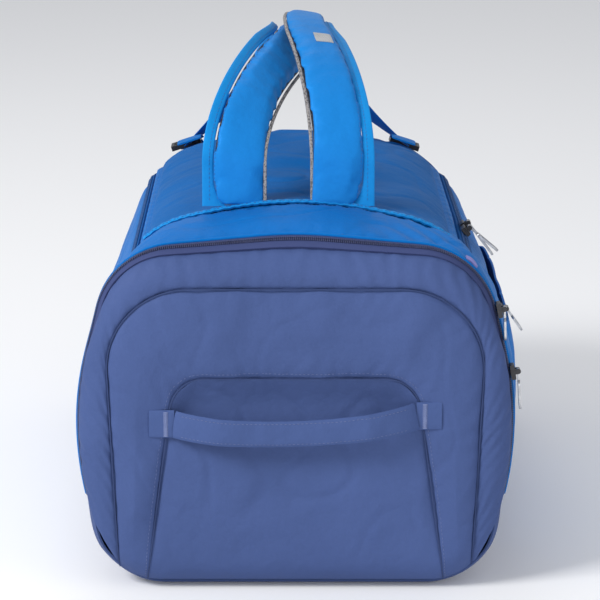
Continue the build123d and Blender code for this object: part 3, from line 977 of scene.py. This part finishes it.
for name, side, left_z, right_z, sag, body, wall_body in (
    ("end", -1, 0.151, 0.158, 0.0075, "end_grip", "end_flap"),
    ("far", 1, 0.165, 0.165, 0.004, "far_grip", "bag"),
):
    wall_y = side * half_long

    def grip_path(share):
        x = (2 * share - 1) * grip_half
        level = left_z + (right_z - left_z) * (x + grip_half) / (2 * grip_half)
        droop = sag * (1 - (x / grip_half) ** 2)
        bow = 0.0145 * min(1.0, (1 - (x / grip_half) ** 2) * 1.6) ** 0.8
        return Vector((x, wall_y + side * (0.0030 + bow), level - droop)), Vector((0, side, 0))

    def grip_profile(turn, share):
        c, s = math.cos(turn), math.sin(turn)
        wave = 0.0007 * noise.noise(Vector((share * 14, c, 0.3)))
        pinch = 1 - 0.06 * math.exp(-(((share - 0.5) / 0.3) ** 2))
        edge = abs(abs(c) - 0.86)
        groove = 0.0006 * math.exp(-((edge / 0.05) ** 2))
        thick = 0.0021 - groove + wave
        return 0.012 * pinch * squared(c, 0.55), thick * squared(s, 0.6)

    grip = swept(f"{name}_grip", grip_path, grip_profile, 44, 110)
    finished(grip, handle_blue, "navy_fabric", body, f"{name}_handle")
    for row, high in enumerate((-0.0092, 0.0092)):

        def grip_row(share):
            point, out = grip_path(0.02 + 0.96 * share)
            return point + Vector((0, side * 0.004, high)), out

        sewn(f"{name}_grip_stitches_{row}", grip, grip_row, body, navy_thread)

    tab_nodes = [f"{name}_handle_tabs"]
    for end, level in ((-1, left_z), (1, right_z)):
        start = grip_half + 0.0006

        def tab_path(share):
            x = end * (start + tab_long * share)
            y = on_end(x, level).y if side < 0 else -on_end(x, level).y
            return Vector((x, y + side * 0.0016, level)), Vector((0, side, 0))

        label = "left" if end < 0 else "right"
        tab = swept(f"{name}_handle_tab_{label}", tab_path, flat_bar(0.0245, 0.0030), 28, 16)
        finished(tab, handle_blue, "navy_fabric", wall_body, *tab_nodes)
        tab_nodes = []
        places = []
        for step in range(22):
            spot = tab_path(0.34)[0] + Vector((0, side * 0.0016, -0.0105 + 0.001 * step))
            places.append((spot, Vector((1, 0, 0)), Vector((0, side, 0))))
        bartack = laid(f"{name}_bartack_{label}", tack, places)
        bartack_nodes = [f"{name}_handle_bartacks"] if end < 0 else []
        finished(bartack, tack_thread, "stitch_thread", wall_body, *bartack_nodes)


# Carrying straps: two padded arches of satin cloth from the lid's near seam to its far end,
# each a foam pad with a mesh lining beneath, a flat seam allowance outside and piping inside.
pad_wide = 0.046
pad_thick = 0.0076
flange_wide = 0.009
root_low = 0.3150
strap_start = (-0.180, 0.350)
end_turn = 158.0
crest_soft = 0.2
far_dip = 1.35
root_share = 0.07
strap_foot = 0.045
lining_end = 0.985
strap_data = {
    "left": (-1, -0.054, (-0.004, 0.434, 42.0), 0.050),
    "right": (1, 0.042, (0.0135, 0.451, 11.0), 0.037),
}


def strap_place(name, share):
    """Point, outward normal and sideways direction of a strap, from its root to its pad's end."""
    side, root_x, (crest_x, crest_z, bank), spread = strap_data[name]
    angle = math.radians(max(0.0, (share - root_share) / (1 - root_share)) * end_turn)
    if angle < math.pi / 2:
        reach = root_x - crest_x
        soft = math.hypot(math.cos(angle), crest_soft)
        scale = math.hypot(1, crest_soft) - crest_soft
        aside = reach * (soft - crest_soft) / scale
        drift = -reach * math.cos(angle) * math.sin(angle) / soft / scale
    else:
        reach = math.copysign(spread, root_x)
        aside = reach * (1 - math.sin(angle))
        drift = -reach * math.cos(angle)
    rise = crest_z - strap_start[1]
    dip = far_dip if angle > math.pi / 2 else 1.0
    point = Vector((
        crest_x + aside,
        strap_start[0] * math.cos(angle),
        strap_start[1] + rise * math.sin(angle) ** dip,
    ))
    ahead = Vector((
        drift,
        -strap_start[0] * math.sin(angle),
        rise * dip * math.sin(angle) ** (dip - 1) * math.cos(angle),
    )).normalized()
    across = (Vector((1, 0, 0)) - ahead * ahead.x).normalized()
    twist = math.radians(bank) * math.sin(angle)
    across = across * math.cos(twist) + ahead.cross(across) * math.sin(twist)
    if share < root_share:
        down = 1 - share / root_share
        point += Vector((0, -0.0052 * down**2, -(strap_start[1] - root_low) * down))
    return point, across.cross(ahead), across


def tapered(share):
    """How far a strap's width is drawn in: full to its crest, narrow where the webbing starts."""
    return 1 - 0.42 * clamped((share - 0.50) / 0.30)


def strap_path(name, low=0.0, high=1.0):
    return lambda share: strap_place(name, low + (high - low) * share)[:2]


def stuff(piece, cap):
    """Inflate a pad as sewn cloth over its foam, hold each point within a cap, and smooth it."""
    bpy.ops.object.select_all(action="DESELECT")
    piece.select_set(True)
    bpy.context.view_layer.objects.active = piece
    voxels = piece.modifiers.new("even_mesh", "REMESH")
    voxels.mode = "VOXEL"
    voxels.voxel_size = 0.004
    bpy.ops.object.modifier_apply(modifier=voxels.name)
    before = [vertex.co.copy() for vertex in piece.data.vertices]
    sewing = piece.modifiers.new("sewing", "CLOTH")
    sewing.settings.use_pressure = True
    sewing.settings.uniform_pressure_force = 4
    sewing.settings.quality = 4
    sewing.settings.effector_weights.gravity = 0
    for step in range(1, 21):
        bpy.context.scene.frame_set(step)
    swollen = piece.evaluated_get(bpy.context.evaluated_depsgraph_get())
    moved = [vertex.co.copy() for vertex in swollen.data.vertices]
    piece.modifiers.remove(sewing)
    bpy.context.scene.frame_set(1)
    for vertex, start, end in zip(piece.data.vertices, before, moved):
        shift = end - start
        vertex.co = start + shift * min(1.0, cap / max(shift.length, 1e-9))
    smooth = piece.modifiers.new("smooth", "SUBSURF")
    smooth.levels = 1
    smooth.render_levels = 1
    bpy.ops.object.modifier_apply(modifier=smooth.name)


strap_cloth = woven("strap_cloth", (0.010, 0.215, 0.620), 0.42, 0.16)
air_mesh = Finish("air_mesh", {"Specular IOR Level": 0.3})
# The pits that sink the bump also darken the colour: painted shade in the mesh's holes.
pit_depth_and_shade = air_mesh.node("ShaderNodeTexVoronoi", None, {"Vector": air_mesh.place, "Scale": 420.0})
mesh_colour_with_pit_shade = air_mesh.mixed((0.05, 0.052, 0.058), (0.17, 0.18, 0.19), pit_depth_and_shade * 1.4)
air_mesh.joined(mesh_colour_with_pit_shade, pit_depth_and_shade * 0.1 + 0.8, pit_depth_and_shade, 0.0008)
reflective = Finish("reflective_piping", {"Specular IOR Level": 0.7})
dots = reflective.clouds(620.0, 1.0)
reflective_colour = reflective.mixed((0.10, 0.095, 0.095), (0.30, 0.28, 0.27), dots.above(0.47))
reflective.joined(reflective_colour, dots * 0.2 + 0.3, dots, 0.0003)

for name, (side, *_) in strap_data.items():
    body = f"{name}_strap"
    pad_aside = -side * flange_wide / 2

    def pad_profile(turn, share):
        c, s = math.cos(turn), math.sin(turn)
        lump = noise.noise(Vector((share * 9, c * 0.8, side * 2.0)))
        slack = math.exp(-(((share - 0.36) / 0.13) ** 2)) * max(0.0, -c * side)
        tuck = math.sin(share * 150 - side * c * 3.2) * (0.0010 * slack + 0.00022)
        crown = 0.0008 * lump + tuck if s > 0 else 0.0
        thick = (pad_thick / 2 + crown) * squared(s, 0.62)
        foot_turn = max(0.0, 1 - share / strap_foot)
        cut = 0.011 * (1 - math.sqrt(1 - foot_turn**2)) * max(0.0, c * side) ** 2
        wide = pad_wide / 2 * squared(c, 0.6)
        return (pad_aside + wide) * tapered(share) - side * cut, thick

    pad = swept(f"{name}_strap_pad", strap_path(name), pad_profile, 40, 230)
    stuff(pad, 0.0022)
    pad_nodes = [f"strap_{name}_pad", f"strap_{name}_root"]
    finished(pad, strap_cloth, "strap_fabric", None, *pad_nodes)

    def flange_profile(turn, share):
        foot_turn = max(0.0, 1 - share / strap_foot)
        wide = flange_wide + 0.001 + 0.011 * foot_turn**2
        outer = side * (pad_wide + flange_wide) / 2
        sideways, outward = flat_bar(wide, 0.0020, outer - side * wide / 2, -0.0026)(turn, share)
        return sideways * tapered(share), outward

    flange = swept(f"{name}_strap_flange", strap_path(name, 0.0, lining_end), flange_profile, 16, 200)
    finished(flange, flange_cloth, "strap_fabric", None, f"strap_{name}_flange")

    def under_profile(turn, share):
        sideways, outward = flat_bar(pad_wide - 0.005, 0.0032, pad_aside, -0.0052)(turn, share)
        return sideways * tapered(root_share + (lining_end - root_share) * share), outward

    under = swept(f"{name}_strap_lining", strap_path(name, root_share, lining_end), under_profile, 24, 150)
    finished(under, air_mesh, "mesh_fabric", None, f"strap_{name}_lining")

    def bead_profile(turn, share):
        inner = -side * (pad_wide + flange_wide) / 2 * tapered(share)
        return flat_bar(0.0030, 0.0030, inner, -0.0006, 0.8)(turn, share)

    bead = swept(f"{name}_strap_piping", strap_path(name, 0.0, lining_end), bead_profile, 8, 200)
    finished(bead, reflective, "patch_grey", None)

    rows = []
    for row, reach in enumerate((0.0178, 0.0212)):

        def flange_row(share):
            point, out, across = strap_place(name, 0.01 + 0.96 * share)
            return point + across * side * reach * tapered(share) + out * 0.004, out

        panel = flange if row else pad
        rows.append(sewn(f"{name}_strap_stitches_{row}", panel, flange_row, None))

    low_point, high_point = strap_place(name, 0.0)[0], strap_place(name, root_share)[0]
    for piece in (pad, flange, under, bead, *rows):
        start = (high_point.x, high_point.y, low_point.z + 0.002)
        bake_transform(piece)
        tuple(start)


# Strap tails: flat webbing from each pad's end to a black two-slot lock, a sewn anchor beyond
# it on the lid, and the loose end turned back. The locks are moulded in acetal.
webbing_wide = 0.025
webbing = woven("webbing_cloth", (0.004, 0.160, 0.520), 0.55, 0.1, thread=0.0018, relief=0.2)
anchor_place = (0.110, 0.245)
acetal_sockets = {"Specular IOR Level": 0.5}
acetal_shades = ((0.008, 0.008, 0.009), (0.02, 0.02, 0.022))
acetal = grained("acetal", acetal_sockets, acetal_shades, 40.0, (1200.0, 1.0), (0.15, 0.3))
for name, (side, *_) in strap_data.items():
    start, start_out, start_across = strap_place(name, 1.0)
    heading = (start - strap_place(name, 0.99)[0]).normalized()
    seat, seat_out = over(side * anchor_place[0], anchor_place[1] - 0.010)
    goal = seat + seat_out * 0.0055
    bend = start + heading * 0.045

    def tail_path(share):
        point = start * (1 - share) ** 2 + bend * (2 * share * (1 - share)) + goal * share**2
        return point, start_out.lerp(seat_out, share)

    tail = swept(f"{name}_webbing", tail_path, flat_bar(webbing_wide, 0.0018), 18, 60)
    finished(tail, webbing, "webbing", None, f"strap_{name}_webbing")
    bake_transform(tail)

    def loose_path(share):
        point, out = over(side * (anchor_place[0] - 0.002), anchor_place[1] - 0.052 + 0.050 * share)
        return point + out * (0.0072 + 0.003 * math.sin(math.pi * share)), out

    loose = swept(f"{name}_loose_end", loose_path, flat_bar(webbing_wide, 0.0018), 18, 30)
    finished(loose, webbing, "webbing", "lid")

    def anchor_path(share):
        point, out = over(side * anchor_place[0], anchor_place[1] - 0.004 + 0.028 * share)
        return point + out * (0.0014 + 0.0030 * math.exp(-share * 9)), out

    anchor = swept(f"{name}_anchor", anchor_path, flat_bar(webbing_wide, 0.0022), 18, 30)
    finished(anchor, webbing, "webbing", "lid", f"strap_{name}_anchor")
    for row, share in enumerate((0.55, 0.88)):

        def anchor_row(across):
            point, out = anchor_path(share)
            ahead = (anchor_path(share + 0.05)[0] - point).normalized()
            return point + ahead.cross(out) * webbing_wide * 0.8 * (across - 0.5) + out * 0.002, out

        sewn(f"{name}_anchor_stitches_{row}", anchor, anchor_row, "lid", pitch=0.0026)
    coated(f"strap_{name}_lock", acetal)


# Patch: a small plain reflective rectangle heat-bonded to the right strap's outer face.
# Grey glass-bead film with a fine grid pressed into it.
film = Finish("reflective_film", {"Specular IOR Level": 0.6})
film_axes = [film.node("ShaderNodeSeparateXYZ", None, {0: film.place}, n) for n in range(3)]
pressed = (film_axes[0] * 4200.0).sine() * (film_axes[2] * 4200.0).sine()
film_colour = film.mixed((0.34, 0.35, 0.36), (0.50, 0.51, 0.52), film.clouds(50.0) + pressed * 0.1)
film.joined(film_colour, pressed * 0.05 + 0.4, pressed, 0.0002)
right_pad = bpy.data.objects["right_strap_pad"]


def patch_place(across, along):
    point, out, sideways = strap_place("right", 0.430 + 0.036 * along)
    start = point + sideways * (0.016 * (across - 0.5) + 0.001) + out * 0.006
    _, spot, face, _ = right_pad.closest_point_on_mesh(start)
    return spot + face * 0.0007


patch = shaped("strap_patch", 20, 14, patch_place)
thicken(patch, 0.0006)
finished(patch, film, "patch_grey", "right_strap", "strap_right_patch")


# Side pocket: a flat pouch sewn on the right flank, open along its top under a short zip.
# It stands a little proud of the flank and is edged by a turned hem.
pocket_near, pocket_far = -0.182, 0.130
pocket_low, pocket_high = 0.046, 0.206
pocket_corner = 0.030


def pocket_edge(y, z):
    """Distance inside the pocket's sewn sides and rounded bottom corners."""
    in_y = min(y - pocket_near, pocket_far - y)
    in_z = z - pocket_low
    if in_y < pocket_corner and in_z < pocket_corner:
        return pocket_corner - math.hypot(pocket_corner - in_y, pocket_corner - in_z)
    return min(in_y, in_z)


def pocket_place(across, along):
    z = pocket_low + (pocket_high - pocket_low) * across
    into = max(0.0, pocket_corner - (z - pocket_low))
    inset = pocket_corner - arc_height(pocket_corner, into)
    near, far = pocket_near + inset, pocket_far - inset
    y = near + (far - near) * along
    proud = 0.0018 + 0.0068 * (1 - math.exp(-max(0.0, pocket_edge(y, z)) / 0.007))
    return on_bag(y, share_at_height(y, z), proud)[0]


def pocket_relief(across, along, point):
    edge = max(0.0, pocket_edge(point.y, point.z))
    return stuffed(point, edge + 0.002, point.y, 0.001, 0.0018)


pocket = shaped("side_pocket_pouch", 50, 100, pocket_place, relief=pocket_relief)
thicken(pocket, shell_wall)
finished(pocket, blue, "blue_fabric", "bag", "side_pocket")


def pocket_hem(share):
    near, far, low = pocket_near, pocket_far, pocket_low
    run = share * ((far - near) + 2 * (pocket_high - low))
    if run < pocket_high - low:
        y, z = near, pocket_high - run
    elif run < pocket_high - low + far - near:
        y, z = near + run - (pocket_high - low), low
    else:
        y, z = far, low + run - (pocket_high - low) - (far - near)
    outside = 0.7 * max(0.0, -pocket_edge(y, z))
    y += math.copysign(outside, (near + far) / 2 - y)
    z += outside
    return on_bag(y, share_at_height(y, z), 0.0014)


hem = swept("pocket_hem", pocket_hem, flat_bar(0.004, 0.0026), 10, 180)
finished(hem, blue, "blue_fabric", "bag")


def pocket_tape_place(across, along):
    y = pocket_near + (pocket_far - pocket_near) * across
    return on_bag(y, share_at_height(y, 0.2065 + 0.0105 * along), 0.0008)[0]


pocket_tape = shaped("pocket_tape", 90, 6, pocket_tape_place)
thicken(pocket_tape, 0.0012)
finished(pocket_tape, blue_tape, "zip_tape", "bag", "pocket_zip")
for row, z in enumerate((0.2105, 0.2130)):

    def pocket_row(share):
        y = pocket_near + 0.004 + (pocket_far - pocket_near - 0.008) * share
        return on_bag(y, share_at_height(y, z), 0.0010)

    teeth = laid(f"pocket_teeth_{row}", tooth, stations(pocket_row, tooth_pitch))
    finished(teeth, nylon["blue_coil"], "zip_coil", "bag")


# Zip tabs: a folded blue cloth loop that covers the main zip's near end, and a small lilac tab
# at the end zip, both sewn down on the saddle's right shoulder.
lilac = woven("lilac_tape", (0.250, 0.240, 0.520), 0.6, 0.15, relief=0.1)
for name, node, y, x, long, wide, thick, finish, slot in (
    ("zip_garage_loop", "zip_garage", -0.212, 0.140, 0.022, 0.018, 0.0055, blue, "blue_fabric"),
    ("end_zip_loop", "end_zip_tab", -0.262, 0.148, 0.012, 0.009, 0.0032, lilac, "zip_tape"),
):

    def loop_path(share):
        point, out = over(x + long * 0.72 * (share - 0.5), y, 0.0)
        return point + out * (0.0022 + 0.0012 * math.sin(math.pi * share)), out

    loop = swept(name, loop_path, flat_bar(wide, thick), 20, 24)
    finished(loop, finish, slot, "bag", node)


# Sliders and pulls: die-cast zinc sliders painted black, each with a plated slotted pull that
# turns on the slider's pin. Both are tumbled, so their shade is a little uneven.
for part, name, metallic, dark, light, scale, rough, smoothest in (
    ("slider", "painted_zinc", 0.3, (0.010, 0.010, 0.013), (0.045, 0.045, 0.052), 180.0, 0.3, 0.22),
    ("puller", "plated_zinc", 0.85, (0.30, 0.31, 0.33), (0.62, 0.63, 0.65), 160.0, 0.25, 0.2),
):
    zinc = Finish(name, {"Metallic": metallic})
    wear = zinc.clouds(scale, 3.0)
    zinc.joined(zinc.mixed(dark, light, wear), wear * rough + smoothest, wear, 0.0002)
    for zip_name in ("main_near", "main_far", "end_upper", "end_lower", "pocket"):
        coated(f"{zip_name}_{part}", zinc)

for shape in (tooth, stitch, tack):
    bpy.data.objects.remove(shape)

made_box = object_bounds()
[[list(corner) for corner in box] for box in (cad_box, made_box)]
